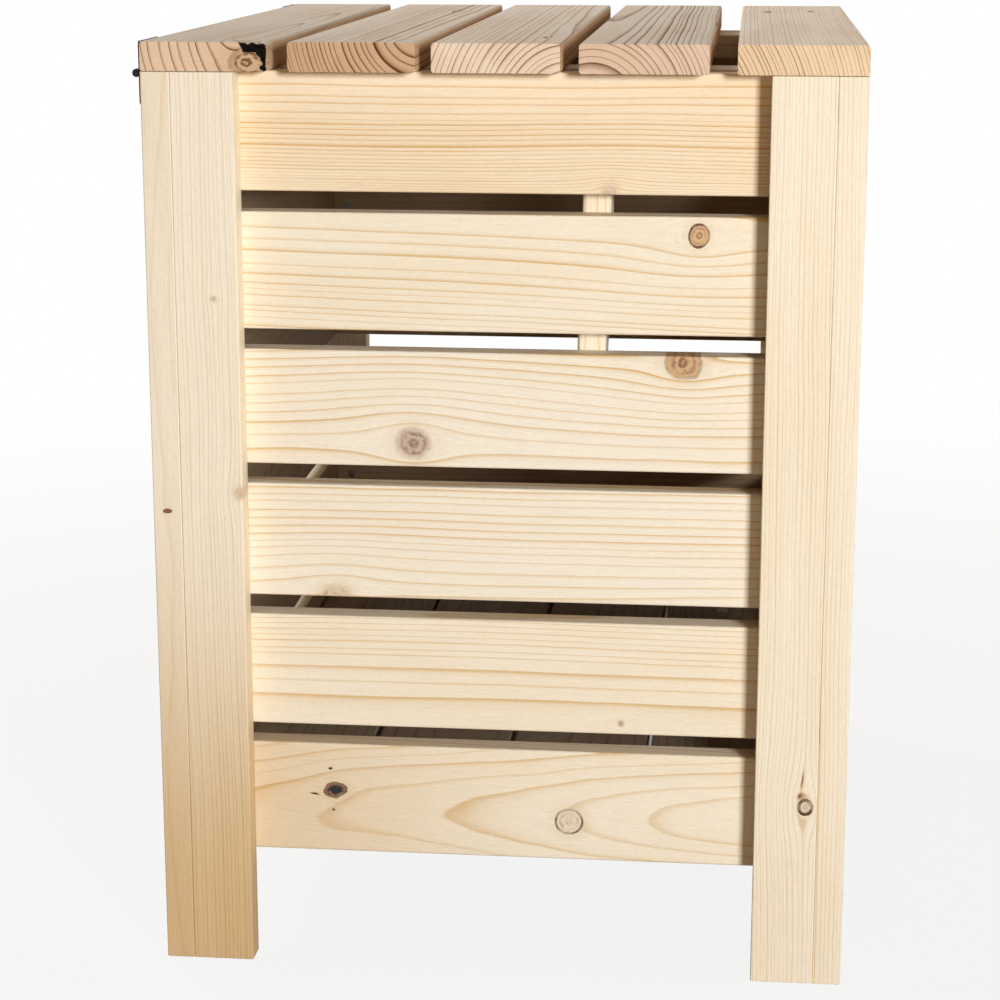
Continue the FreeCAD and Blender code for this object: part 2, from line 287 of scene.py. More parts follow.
def make_knot_face():
    """The face of a knot: broken rings round a heart, and a thin rim of bark, darker on one side."""
    tree, start, end = new_group(
        "knot face",
        [
            ("Wood", "Color"),
            ("Distance", "Float"),
            ("Grain", "Vector"),
            ("Pale", "Color"),
            ("Dark", "Color"),
            ("Rim", "Float"),
            ("Rim width", "Float"),
            ("Soft", "Float"),
            ("Heart", "Float"),
            ("Arcs", "Float"),
        ],
        [("Wood", "Color"), ("Inside", "Float")],
    )
    distance = start["Distance"]
    inner_edge = sums(tree, "SUBTRACT", 0.95, start["Soft"])
    outer_edge = sums(tree, "MULTIPLY_ADD", start["Soft"], 0.5, 1.03)
    inside = ramp(tree, distance, inner_edge, outer_edge, 1.0, 0.0)
    blotch = noise(tree, start["Grain"], 0.32, 3.0, 0.7).outputs["Fac"]
    side = noise(tree, start["Grain"], 0.1, 1.0).outputs["Fac"]
    turns = sums(tree, "MULTIPLY_ADD", blotch, 9.0, sums(tree, "MULTIPLY", distance, 15.0))
    arcs = sums(tree, "MULTIPLY", sums(tree, "SINE", turns), ramp(tree, side, 0.38, 0.6, 0.05, 0.38))
    arcs = sums(tree, "MULTIPLY", arcs, start["Arcs"])
    heart_edge = sums(tree, "MULTIPLY_ADD", start["Heart"], 0.6, 0.2)
    heart = sums(tree, "MULTIPLY", ramp(tree, distance, 0.06, heart_edge, 1.0, 0.0), start["Heart"])
    mottle = sums(tree, "MULTIPLY_ADD", blotch, 1.6, -0.55)
    shade = sums(tree, "ADD", sums(tree, "ADD", arcs, mottle), sums(tree, "MULTIPLY", heart, 1.3))
    face = blend_colours(tree, ramp(tree, shade, 0.0, 1.0), start["Pale"], start["Dark"])
    halo = ramp(tree, distance, 0.95, 2.0, 0.35, 0.0)
    stained = blend_colours(tree, halo, start["Wood"], (0.88, 0.78, 0.66, 1), "MULTIPLY")
    wood = blend_colours(tree, inside, stained, face)
    rim_start = sums(tree, "SUBTRACT", 1.0, start["Rim width"])
    rim_full = sums(tree, "MULTIPLY_ADD", start["Rim width"], -0.4, 1.0)
    bark = ramp(tree, distance, rim_start, rim_full)
    bark = sums(tree, "MULTIPLY", bark, ramp(tree, distance, 1.0, 1.09, 1.0, 0.0))
    bark = sums(tree, "MULTIPLY", bark, ramp(tree, side, 0.35, 0.6, 0.4, 1.0))
    bark = sums(tree, "MULTIPLY", bark, start["Rim"])
    rimmed = blend_colours(tree, bark, wood, (0.07, 0.027, 0.01, 1))
    tree.links.new(rimmed, end["Wood"])
    tree.links.new(inside, end["Inside"])
    return tree


knot_flow = make_knot_flow()
ring_wood = make_ring_wood()
knot_face = make_knot_face()

pale_spruce = (0.9, 0.79, 0.605, 1)
warm_spruce = (0.885, 0.755, 0.555, 1)
late_spruce = (0.67, 0.41, 0.14, 1)
lath_late = (0.6, 0.43, 0.22, 1)
# Painted shade: a brown tint that darkens a board towards one end, where the light falls off.
falloff_shade_tint = (0.72, 0.56, 0.36, 1)
# Painted shade: a dark tint laid on the inner faces of the walls, where the closed box is in shade.
inside_shade_tint = (0.52, 0.4, 0.29, 1)
black_bark = (0.008, 0.006, 0.005, 1)
brown_bark = (0.05, 0.028, 0.016, 1)
knot_kinds = {
    "live": {
        "Pale": (0.66, 0.42, 0.21, 1),
        "Dark": (0.3, 0.13, 0.055, 1),
        "Rim": 0.95,
        "Rim width": 0.22,
        "Heart": 0.3,
    },
    "tan": {
        "Pale": (0.64, 0.4, 0.2, 1),
        "Dark": (0.26, 0.12, 0.06, 1),
        "Rim": 0.3,
        "Rim width": 0.2,
        "Soft": 0.12,
        "Heart": 0.5,
    },
    "grey": {
        "Pale": (0.58, 0.43, 0.315, 1),
        "Dark": (0.2, 0.12, 0.08, 1),
        "Rim": 0.0,
        "Soft": 0.3,
        "Heart": 0.35,
    },
    "ring": {
        "Pale": (0.82, 0.68, 0.51, 1),
        "Dark": (0.5, 0.36, 0.23, 1),
        "Rim": 0.9,
        "Rim width": 0.16,
        "Heart": 0.12,
    },
    "dead": {
        "Pale": (0.3, 0.17, 0.095, 1),
        "Dark": (0.012, 0.01, 0.01, 1),
        "Rim": 0.5,
        "Rim width": 0.25,
        "Heart": 1.0,
    },
    "plug": {
        "Pale": (0.78, 0.62, 0.44, 1),
        "Dark": (0.45, 0.3, 0.18, 1),
        "Rim": 1.0,
        "Rim width": 0.5,
        "Heart": 0.1,
    },
    "faint": {
        "Pale": (0.74, 0.58, 0.4, 1),
        "Dark": (0.52, 0.37, 0.23, 1),
        "Rim": 0.0,
        "Soft": 0.4,
        "Heart": 0.1,
    },
    "eye": {
        "Pale": (0.3, 0.12, 0.055, 1),
        "Dark": (0.1, 0.035, 0.016, 1),
        "Rim": 1.0,
        "Rim width": 0.45,
        "Heart": 0.2,
    },
    "split": {
        "Pale": (0.46, 0.27, 0.13, 1),
        "Dark": (0.14, 0.06, 0.025, 1),
        "Rim": 0.0,
        "Soft": 0.5,
        "Heart": 0.6,
    },
    "branch": {
        "Pale": (0.64, 0.42, 0.24, 1),
        "Dark": (0.24, 0.105, 0.042, 1),
        "Rim": 0.3,
        "Rim width": 0.3,
        "Soft": 0.05,
        "Heart": 0.05,
        "Arcs": 2.6,
    },
}
knot_reach = {"live": 1.9, "grey": 1.6, "ring": 0.8, "dead": 1.2, "plug": 1.8, "split": 0.6}
knot_ragged = {"live": 0.28, "grey": 0.4, "ring": 0.14, "dead": 0.9, "plug": 0.25, "split": 0.9}


def planed_spruce(name, node, grain, face, look, knots=(), branch=None):
    """Planed spruce for one board, its rings, waves and knots given in millimetres on its face."""
    low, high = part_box(node)
    turn = Matrix((grain, face.cross(grain), face)).transposed().to_euler()
    material = bpy.data.materials.new(name)
    material.use_nodes = True
    tree = material.node_tree
    shader = tree.nodes["Principled BSDF"]
    place = tree.nodes.new("ShaderNodeTexCoord")
    board = tree.nodes.new("ShaderNodeMapping")
    board.vector_type = "TEXTURE"
    board.inputs["Location"].default_value = (low + high) / 2
    board.inputs["Rotation"].default_value = turn
    board.inputs["Scale"].default_value = (0.001, 0.001, 0.001)
    tree.links.new(place.outputs["Object"], board.inputs["Vector"])
    flow = board.outputs[0]
    distances = []
    along_board = add_node(tree, "ShaderNodeSeparateXYZ", flow)
    if branch:
        end_flow = add_node(tree, "ShaderNodeGroup", node_tree=knot_flow)
        on_end = add_node(tree, "ShaderNodeCombineXYZ", along_board.outputs[1], along_board.outputs[2], 0.0)
        tree.links.new(on_end.outputs[0], end_flow.inputs["Grain"])
        end_flow.inputs["Place"].default_value = (branch["across"], branch["up"], 0)
        fading = ramp(tree, along_board.outputs[0], branch["from"], branch["to"], branch["radius"], 0.01)
        tree.links.new(fading, end_flow.inputs["Radius"])
        end_flow.inputs["Stretch"].default_value = 1.35
        end_flow.inputs["Reach"].default_value = 1.5
        end_flow.inputs["Ragged"].default_value = 0.35
        distances.append((end_flow.outputs["Distance"], "branch"))
        turned = add_node(tree, "ShaderNodeSeparateXYZ", end_flow.outputs["Grain"])
        flow = add_node(
            tree, "ShaderNodeCombineXYZ", along_board.outputs[0], turned.outputs[0], turned.outputs[1]
        ).outputs[0]
    for along, across, radius, stretch, kind in knots:
        parted = add_node(tree, "ShaderNodeGroup", node_tree=knot_flow)
        tree.links.new(flow, parted.inputs["Grain"])
        parted.inputs["Place"].default_value = (along, across, 0)
        parted.inputs["Radius"].default_value = radius
        parted.inputs["Stretch"].default_value = stretch
        parted.inputs["Reach"].default_value = knot_reach.get(kind, 1.35)
        parted.inputs["Ragged"].default_value = knot_ragged.get(kind, 0.5)
        flow = parted.outputs["Grain"]
        distances.append((parted.outputs["Distance"], kind))
    rings = add_node(tree, "ShaderNodeGroup", node_tree=ring_wood)
    tree.links.new(flow, rings.inputs["Grain"])
    rings.inputs["Pith"].default_value = (0, look["pith"][0], look["pith"][1])
    rings.inputs["Slope"].default_value = (0, look["slope"][0], look["slope"][1])
    rings.inputs["Rings"].default_value = look["rings"][0]
    rings.inputs["Crowding"].default_value = look["rings"][1]
    rings.inputs["Wave"].default_value = look["wave"]
    rings.inputs["Band"].default_value = look["band"]
    rings.inputs["Seed"].default_value = look["seed"]
    pale, warm, late = look["colours"]
    tone = ramp(tree, rings.outputs["Tone"], 0.3, 0.7)
    wood = blend_colours(tree, tone, pale, warm)
    across_grain = add_node(
        tree, "ShaderNodeVectorMath", place.outputs["Normal"], grain, operation="DOT_PRODUCT"
    ).outputs["Value"]
    end_share = ramp(tree, sums(tree, "ABSOLUTE", across_grain), 0.75, 0.95)
    lines = sums(tree, "MULTIPLY_ADD", end_share, look["end_lines"] - look["contrast"], look["contrast"])
    lines = sums(tree, "MULTIPLY", rings.outputs["Late"], lines)
    wood = blend_colours(tree, lines, wood, late)
    # Painted shade: the board darkens along its length towards one end, where the light falls off.
    if look["tan"]:
        falloff_from, falloff_to, falloff_share = look["tan"]
        falloff_shade = ramp(tree, along_board.outputs[0], falloff_from, falloff_to, 0.0, falloff_share)
        wood = blend_colours(tree, falloff_shade, wood, falloff_shade_tint, "MULTIPLY")
    streak = sums(tree, "MULTIPLY_ADD", rings.outputs["Fibre"], 0.2, 0.9)
    wood = blend_colours(tree, 1.0, wood, streak, "MULTIPLY")
    short_fibres = vectors(tree, "MULTIPLY", flow, (0.22, 1.7, 1.7))
    nap = sums(tree, "MULTIPLY_ADD", noise(tree, short_fibres, 1.0, 2.0, 0.6).outputs["Fac"], 0.24, 0.88)
    wood = blend_colours(tree, 1.0, wood, nap, "MULTIPLY")
    dashes = sums(tree, "MULTIPLY", rings.outputs["Speck"], 0.16)
    wood = blend_colours(tree, dashes, wood, late)
    pores = sums(tree, "MULTIPLY_ADD", noise(tree, flow, 1.4, 4.0, 0.7).outputs["Fac"], 1.05, 0.545)
    sawn = blend_colours(tree, 1.0, wood, look["end_tint"], "MULTIPLY")
    sawn = blend_colours(tree, 1.0, sawn, pores, "MULTIPLY")
    wood = blend_colours(tree, end_share, wood, sawn)
    rough = sums(tree, "MULTIPLY_ADD", rings.outputs["Fibre"], 0.2, look["rough"])
    rough = sums(tree, "MULTIPLY_ADD", rings.outputs["Late"], -0.1, rough)
    facing = add_node(
        tree, "ShaderNodeVectorMath", place.outputs["Normal"], face, operation="DOT_PRODUCT"
    ).outputs["Value"]
    # Painted shade: the long sides of the board, which lie in the narrow gaps, are darkened.
    if look["side_shade_tint"]:
        side_shade_share = ramp(tree, sums(tree, "ABSOLUTE", facing), 0.05, 0.4, 1.0, 0.0)
        side_shade_share = sums(tree, "MULTIPLY", side_shade_share, sums(tree, "SUBTRACT", 1.0, end_share))
        wood = blend_colours(tree, side_shade_share, wood, look["side_shade_tint"], "MULTIPLY")
    # Painted shade: the face turned into the box is darkened by a given share.
    inner_shade_share = ramp(tree, facing, -0.5, -0.9, 0.0, look["inner"])
    wood = blend_colours(tree, inner_shade_share, wood, inside_shade_tint, "MULTIPLY")
    for distance, kind in distances:
        knot = add_node(tree, "ShaderNodeGroup", node_tree=knot_face)
        tree.links.new(wood, knot.inputs["Wood"])
        tree.links.new(distance, knot.inputs["Distance"])
        tree.links.new(board.outputs[0], knot.inputs["Grain"])
        knot.inputs["Arcs"].default_value = 1.0
        for label, value in knot_kinds[kind].items():
            knot.inputs[label].default_value = value
        wood = knot.outputs["Wood"]
        rough = sums(tree, "MULTIPLY_ADD", knot.outputs["Inside"], -0.12, rough)
    if branch:
        mark = add_node(tree, "ShaderNodeAttribute", attribute_name="bark").outputs["Fac"]
        crumbs = noise(tree, board.outputs[0], 0.6, 3.0, 0.6).outputs["Fac"]
        ragged_mark = sums(tree, "MULTIPLY_ADD", crumbs, 0.6, sums(tree, "SUBTRACT", mark, 0.3))
        bark = blend_colours(tree, ramp(tree, crumbs, 0.5, 0.8), black_bark, brown_bark)
        wood = blend_colours(tree, ramp(tree, ragged_mark, 0.3, 0.5), wood, bark)
        rough = sums(tree, "MULTIPLY_ADD", mark, 0.3, rough)
    tree.links.new(wood, shader.inputs["Base Color"])
    tree.links.new(rough, shader.inputs["Roughness"])
    shader.inputs["Specular IOR Level"].default_value = look["gloss"]
    strands = vectors(tree, "MULTIPLY", board.outputs[0], (0.05, 1.0, 1.0))
    bump = tree.nodes.new("ShaderNodeBump")
    bump.inputs["Strength"].default_value = 0.5
    bump.inputs["Distance"].default_value = 0.0003
    tree.links.new(noise(tree, strands, 1.0, 2.0).outputs["Fac"], bump.inputs["Height"])
    tree.links.new(bump.outputs[0], shader.inputs["Normal"])
    return material


def spruce_look(pith, slope, rings, wave, seed, contrast=0.9, **extras):
    """The growth of one board: where its pith lay, how it leaned, and how the rings were spaced."""
    look = {
        "pith": pith,
        "slope": slope,
        "rings": rings,
        "wave": wave,
        "seed": seed,
        "contrast": contrast,
        "end_lines": contrast + 0.5,
        "band": 0.5,
        "colours": (pale_spruce, warm_spruce, late_spruce),
        "end_tint": (0.83, 0.74, 0.62, 1),
        # The next entry says how much painted shade darkens the inner face of the board.
        "inner": 0.0,
        # The next entry is a tint of painted shade for the long sides of the board.
        "side_shade_tint": None,
        # The next entry gives painted shade towards one end of the board: where it starts, where it is
        # full, and how much.
        "tan": None,
        "gloss": 0.3,
        "rough": 0.5,
    }
    look.update(extras)
    return look


lath_colours = (pale_spruce, warm_spruce, late_spruce)
left_lath_colours = ((0.93, 0.82, 0.635, 1), (0.915, 0.79, 0.59, 1), lath_late)
# The two back left boards get painted shade towards their lower ends, where the light falls off.
post_growth = {
    "end_lath_back_left": spruce_look(
        (95, -40), (0.004, 0.0), (0.33, 0.0), 6, 3.1, 0.72, tan=(60, -330, 0.95), colours=left_lath_colours
    ),
    "end_lath_front_left": spruce_look(
        (-120, -30), (0.008, 0.0), (0.35, 0.0), 9, 8.4, 0.75, colours=lath_colours
    ),
    "corner_board_back_left": spruce_look(
        (-18, -150), (0.0, 0.0), (0.5, 0.0), 6, 5.2, 0.3, tan=(60, -330, 0.95), colours=lath_colours
    ),
    "corner_board_front_left": spruce_look(
        (-90, -30), (0.006, 0.0), (0.34, 0.0), 7, 1.7, 0.75, colours=lath_colours
    ),
}
post_knots = {
    "end_lath_back_left": [(183, -5.5, 2.4, 1.1, "faint"), (32, -22, 5, 1.0, "faint")],
    "end_lath_front_left": [
        (-206, -15, 6, 1.15, "plug"),
        (-184, -13.5, 0.5, 17.0, "split"),
        (-197, -14, 1.2, 2.6, "split"),
        (-220, -14.5, 0.7, 8.0, "faint"),
    ],
    "corner_board_back_left": [(17, 0, 3.6, 0.5, "eye")],
    "corner_board_front_left": [],
}
for end_name, end_face in (("left", -along_y), ("right", along_y)):
    for side_name in ("back", "front"):
        for kind in ("end_lath", "corner_board"):
            post_name = kind + "_" + side_name + "_" + end_name
            draw = random.Random(post_name)
            drawn_look = spruce_look(
                (draw.uniform(-110, 110), draw.uniform(-90, -25)),
                (draw.uniform(-0.02, 0.02), draw.uniform(-0.02, 0.02)),
                (draw.uniform(0.2, 0.29), 0.0),
                draw.uniform(5, 11),
                draw.uniform(10, 60),
                draw.uniform(0.5, 0.7),
            )
            drawn_knots = [
                (draw.uniform(-280, 280), draw.uniform(-18, 18), draw.uniform(3, 6), 1.2, "live"),
            ]
            post_wood = planed_spruce(
                post_name,
                post_name,
                along_z,
                end_face,
                post_growth.get(post_name, drawn_look),
                post_knots.get(post_name, drawn_knots),
            )
            post_form = planed_board(post_name, along_z, post_round)
            finish_piece("planed_" + post_name, post_form, post_wood, "box", [post_name])


# Wall slats: six planed spruce boards on each side, screwed from inside to the corner posts with
# an even gap between them. The knots and the run of the rings on the near end are the ones seen.
slat_round = 0.0018
# How much painted shade darkens the inner faces of the wall slats.
inside_shade_share = 0.9
warm_board = ((0.89, 0.725, 0.505, 1), (0.86, 0.675, 0.44, 1), (0.64, 0.36, 0.11, 1))
pale_board = ((0.9, 0.8, 0.635, 1), (0.89, 0.775, 0.59, 1), late_spruce)
near_end_growth = {
    1: spruce_look((52, -14), (0.0, 0.004), (0.045, 0.0021), 6, 2.3, 1.2, band=0.65, colours=warm_board),
    2: spruce_look((49, -6), (-0.02, 0.01), (0.078, 0.00063), 7, 6.7, 1.0),
    3: spruce_look((-51, -20), (0.0, 0.0), (0.17, 0.0), 8, 9.1, 1.0, colours=pale_board),
    4: spruce_look((-51, -12), (0.0, 0.012), (0.172, 0.0), 7, 4.4, 1.0, colours=pale_board),
    5: spruce_look((-52, -5), (0.0, -0.01), (-0.074, 0.00169), 7, 7.9, 1.0),
    # Slat 6 gets painted shade towards its left end, where the light falls off.
    6: spruce_look((-12, -62), (0.03, 0.05), (0.2, 0.0), 13, 3.6, 0.75, tan=(60, -300, 0.65)),
}
near_end_knots = {
    1: [(80, -43, 6, 1.0, "faint")],
    2: [(147, 31, 9, 0.88, "live"), (141, 40, 1.3, 1.4, "dead")],
    3: [(137, 40, 13, 1.05, "tan"), (-69, -25, 13, 1.05, "grey")],
    4: [(-131, -44, 10, 1.3, "faint")],
    5: [(93, -36, 2.6, 1.0, "grey")],
    6: [
        (-133, 6, 6.8, 1.45, "dead"),
        (53, -13, 10.3, 1.06, "ring"),
        (-137, 21, 1.2, 1.4, "dead"),
        (-135, -7, 1.0, 1.4, "dead"),
        (-150, 4, 0.5, 7.0, "dead"),
    ],
}
walls = (
    ("left_end", along_x, -along_y),
    ("right_end", along_x, along_y),
    ("back", along_y, -along_x),
    ("front", along_y, along_x),
)
for wall_name, wall_grain, wall_face in walls:
    for row in range(1, 7):
        slat_name = wall_name + "_slat_" + str(row)
        draw = random.Random(slat_name)
        slat_growth = spruce_look(
            (draw.choice((-50, -20, 20, 50)), draw.uniform(-45, -8)),
            (draw.uniform(-0.01, 0.01), draw.uniform(-0.03, 0.03)),
            (draw.uniform(0.1, 0.22), draw.uniform(0.0, 0.0006)),
            draw.uniform(6, 11),
            draw.uniform(10, 90),
            draw.uniform(0.62, 0.8),
        )
        slat_knots = []
        for _ in range(draw.choice((0, 1, 1, 2))):
            slat_knots.append(
                (
                    draw.uniform(-200, 200),
                    draw.uniform(-40, 40),
                    draw.uniform(4, 11),
                    draw.uniform(0.9, 1.3),
                    draw.choice(("live", "tan", "grey", "ring", "live", "dead")),
                )
            )
        if wall_name == "left_end":
            slat_growth = near_end_growth[row]
            slat_knots = near_end_knots[row]
        # The inner faces of the wall slats get painted shade.
        slat_growth["inner"] = inside_shade_share
        slat_wood = planed_spruce(slat_name, slat_name, wall_grain, wall_face, slat_growth, slat_knots)
        slat_form = planed_board(slat_name, wall_grain, slat_round)
        finish_piece("planed_" + slat_name, slat_form, slat_wood, "box", [slat_name])


# Floor: four planed spruce boards laid along the box, with narrow gaps that let it dry. They rest
# on a ledger lath screwed across the lowest slat of each end, and their colour is darkened with painted
# shade, like the inside faces.
# Painted shade: a dark colour for the floor boards, which lie in the shade inside the box.
shaded_floor_colours = ((0.4, 0.3, 0.2, 1), (0.36, 0.26, 0.165, 1), (0.2, 0.115, 0.05, 1))
for number in range(1, 5):
    floor_name = "floor_board_" + str(number)
    draw = random.Random(floor_name)
    floor_growth = spruce_look(
        (draw.uniform(-40, 40), draw.uniform(-40, -12)),
        (draw.uniform(-0.01, 0.01), draw.uniform(-0.03, 0.03)),
        (draw.uniform(0.1, 0.2), 0.0),
        draw.uniform(6, 11),
        draw.uniform(10, 90),
    )
    floor_knots = [(draw.uniform(-200, 200), draw.uniform(-30, 30), draw.uniform(5, 10), 1.1, "live")]
    floor_growth["colours"] = shaded_floor_colours
    floor_wood = planed_spruce(floor_name, floor_name, along_y, along_z, floor_growth, floor_knots)
    floor_form = planed_board(floor_name, along_y, slat_round)
    finish_piece("planed_" + floor_name, floor_form, floor_wood, "box", [floor_name])
for end_name in ("left", "right"):
    ledger_name = "floor_ledger_" + end_name
    ledger_growth = spruce_look((70, -40), (0.01, 0.0), (0.25, 0.0), 8, 21.0 + len(end_name))
    ledger_wood = planed_spruce(ledger_name, ledger_name, along_x, along_z, ledger_growth)
    ledger_form = planed_board(ledger_name, along_x, slat_round)
    finish_piece("planed_" + ledger_name, ledger_form, ledger_wood, "box", [ledger_name])


# Lid: five weathered, slightly greyer spruce boards along the box, with uneven gaps, screwed from
# below to a flat batten inside each end. The sawn ends show the arcs of the growth rings.
lid_round = 0.0024
lid_pale = Vector((0.76, 0.63, 0.485))
lid_warm = Vector((0.71, 0.565, 0.41))
lid_late = (0.15, 0.065, 0.022, 1)
lid_tones = {1: 0.88, 2: 1.0, 3: 1.03, 4: 1.0, 5: 1.25}
lid_growth = {
    1: spruce_look((-27, 23), (0.0, 0.03), (0.14, 0.0), 3, 2.9, 0.6, end_tint=(1.14, 0.98, 0.86, 1)),
    2: spruce_look((-52, 26), (0.0, 0.01), (0.069, 0.0014), 3, 5.6, 1.0, end_tint=(0.82, 0.63, 0.48, 1)),
    3: spruce_look((-53, -32), (0.0, 0.01), (0.23, 0.0), 3, 7.3, 0.78, end_tint=(1.04, 0.98, 0.94, 1)),
    4: spruce_look((41, -32), (0.01, 0.012), (0.1, 0.0011), 3, 1.4, 1.4, end_tint=(0.94, 0.82, 0.76, 1)),
    5: spruce_look((150, -60), (0.0, 0.0), (0.33, 0.0), 4, 8.8, 0.52, end_tint=(0.86, 0.77, 0.64, 1)),
}
lid_growth[4]["band"] = 0.85
# Painted shade for the long sides of the lid boards, in the gaps between them.
lid_side_shade = (0.82, 0.68, 0.54, 1)
lid_end_lines = {1: 1.3, 2: 1.45, 3: 1.2, 4: 1.25, 5: 1.1}
lid_knots = {
    1: [(-255, -11, 1.6, 5.0, "grey")],
    2: [(180, -20, 4, 1.2, "grey"), (-262, -24, 1.6, 4.0, "grey")],
    3: [(-240, -30, 2.2, 3.0, "dead")],
    4: [],
    5: [(190, 24, 4, 2.4, "dead"), (205, -15, 3, 3.0, "dead")],
}
lid_gloss = 0.06
lid_rough = 0.75
branch_in_end = {"across": -34, "up": -4, "radius": 10.5, "from": -316, "to": -280}
branch_from_corner = Vector((-0.0135, 0, -0.015))


def smooth_step(low, high, value):
    """A smooth rise from 0 to 1 as a value goes from low to high."""
    share = min(1.0, max(0.0, (value - low) / (high - low)))
    return share * share * (3 - 2 * share)


def break_corner(form, corner, centre):
    """Breaks the end of a board away round a branch, down to the ragged bark between them."""
    deep = 0.03
    wide = 0.042
    fine = 0.0014
    whole_end = 1.0
    on_plane = 0.00001
    bark_turn = math.radians(35)
    for depth in (0.001, 0.003, 0.0055, 0.0085, 0.012, 0.016, 0.022, deep):
        bmesh.ops.bisect_plane(
            form,
            geom=form.faces[:] + form.edges[:] + form.verts[:],
            plane_co=(0, corner.y + depth, 0),
            plane_no=along_y,
            dist=on_plane,
        )
    cuts = [(along_x, corner.x - wide, whole_end)]
    cuts += [(along_x, corner.x - fine * number, wide) for number in range(1, 30)]
    cuts += [(along_z, corner.z - fine * number, wide) for number in range(1, 16)]
    for normal, place, limit in cuts:
        near_end = []
        for face in form.faces:
            middle = face.calc_center_median()
            if middle.y < corner.y + deep and middle.x > corner.x - limit:
                near_end += [face, *face.edges, *face.verts]
        near_end = list(dict.fromkeys(near_end))
        bmesh.ops.bisect_plane(
            form, geom=near_end, plane_co=normal * place, plane_no=normal, dist=on_plane
        )
    bark = form.verts.layers.float.new("bark")
    for point in form.verts:
        depth = point.co.y - corner.y
        if depth > deep or point.co.x < corner.x - wide:
            continue
        right = (point.co.x - centre.x) * 1000
        up = (point.co.z - centre.z) * 1000
        angle = math.degrees(math.atan2(up, right))
        reach = math.hypot(right, up)
        chip = rough_field.noise(Vector((right, up, 0.0)) * 0.33)
        tooth = rough_field.noise(Vector((right, up, 9.0)) * 0.62)
        inner = 6.6 + 3.2 * math.cos(math.radians(angle)) ** 2 + 1.5 * chip
        broken = smooth_step(inner, inner + 1.5, reach)
        broken *= smooth_step(-34, -14, angle) * (1 - smooth_step(100, 120, angle))
        inward = (1 - depth / deep) ** 2
        point.co.y += broken * inward * (0.008 + 0.004 * chip + 0.006 * tooth)
        point.co.z -= broken * inward * (0.003 + 0.004 * tooth) * smooth_step(9, 15, up)
        point.co.x -= broken * inward * (0.0025 + 0.003 * tooth) * smooth_step(8, 13, right)
        edge_of_bark = 0.006 + 0.006 * tooth
        point[bark] = min(1.0, broken * 2.5) * (1 - smooth_step(0.001, edge_of_bark + 0.002, depth))
    for edge in form.edges:
        if edge.calc_face_angle(0.0) > bark_turn:
            edge.smooth = False


for number in range(1, 6):
    lid_name = "lid_slat_" + str(number)
    lid_tone = lid_tones[number]
    lid_growth[number]["colours"] = ((*lid_pale * lid_tone, 1), (*lid_warm * lid_tone, 1), lid_late)
    lid_growth[number]["end_lines"] = lid_end_lines[number]
    lid_growth[number]["side_shade_tint"] = lid_side_shade
    lid_growth[number]["gloss"] = lid_gloss
    lid_growth[number]["rough"] = lid_rough
    lid_branch = branch_in_end if number == 1 else None
    lid_wood = planed_spruce(
        lid_name, lid_name, along_y, along_z, lid_growth[number], lid_knots[number], lid_branch
    )
    lid_form = planed_board(lid_name, along_y, lid_round)
    if lid_branch:
        lid_low, lid_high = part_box(lid_name)
        near_corner = Vector((lid_high.x, lid_low.y, lid_high.z))
        break_corner(lid_form, near_corner, near_corner + branch_from_corner)
    finish_piece("planed_" + lid_name, lid_form, lid_wood, "lid", [lid_name])
for end_name in ("left", "right"):
    batten_name = "lid_batten_" + end_name
    batten_growth = spruce_look((-80, -40), (0.01, 0.0), (0.25, 0.0), 8, 31.0 + len(end_name))
    batten_wood = planed_spruce(batten_name, batten_name, along_x, -along_z, batten_growth)
    batten_form = planed_board(batten_name, along_x, slat_round)
    finish_piece("planed_" + batten_name, batten_form, batten_wood, "lid", [batten_name])


# Lid prop: a planed spruce stick that swings on one screw behind the top slat of the near end and
# holds the lid up. Its top corners are cut off, and its long edges are eased like the boards'.
prop_round = 0.0012
same_point = 0.000001
same_plane = math.radians(1)
corner_turn = math.radians(30)
sharp_turn = math.radians(40)
hole_edge = 0.005
prop_growth = spruce_look((60, -30), (0.01, 0.0), (0.22, 0.0), 6, 12.5)
prop_knots = [(-60, 4, 3, 1.0, "live")]
prop_wood = planed_spruce("prop_spruce", "lid_prop", along_z, -along_y, prop_growth, prop_knots)
prop_form = bmesh.new()
prop_form.from_mesh(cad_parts["lid_prop"].data)
bmesh.ops.remove_doubles(prop_form, verts=prop_form.verts, dist=same_point)
bmesh.ops.dissolve_limit(
    prop_form, angle_limit=same_plane, verts=prop_form.verts[:], edges=prop_form.edges[:]
)
prop_edges = []
for edge in prop_form.edges:
    if edge.calc_length() > hole_edge and edge.calc_face_angle(0.0) > corner_turn:
        prop_edges.append(edge)
bmesh.ops.bevel(
    prop_form,
    geom=prop_edges,
    offset=prop_round,
    segments=edge_segments,
    profile=0.5,
    affect="EDGES",
    material=-1,
)
for edge in prop_form.edges:
    edge.smooth = edge.calc_face_angle(0.0) < sharp_turn
finish_piece("planed_lid_prop", prop_form, prop_wood, "prop", ["lid_prop"])


# Wood screws: zinc plated steel screws with a raised countersunk head and a cross pressed into it.
# They are driven in until the rim is level with the wood, and no two crosses end up turned alike.
# Those inside the walls are sunk almost flat, so that the lid prop can swing past them.
wood_head = 0.004
wood_shank = 0.002
wood_length = 0.038
corner_length = 0.05
head_rise = 0.0006
cross_deep = 0.0005
inner_rise = 0.0002
inner_cross = 0.00016
screw_sides = 12
cad_sides = 6
rim_share = 0.4
waist_share = 0.4
point_share = 0.2


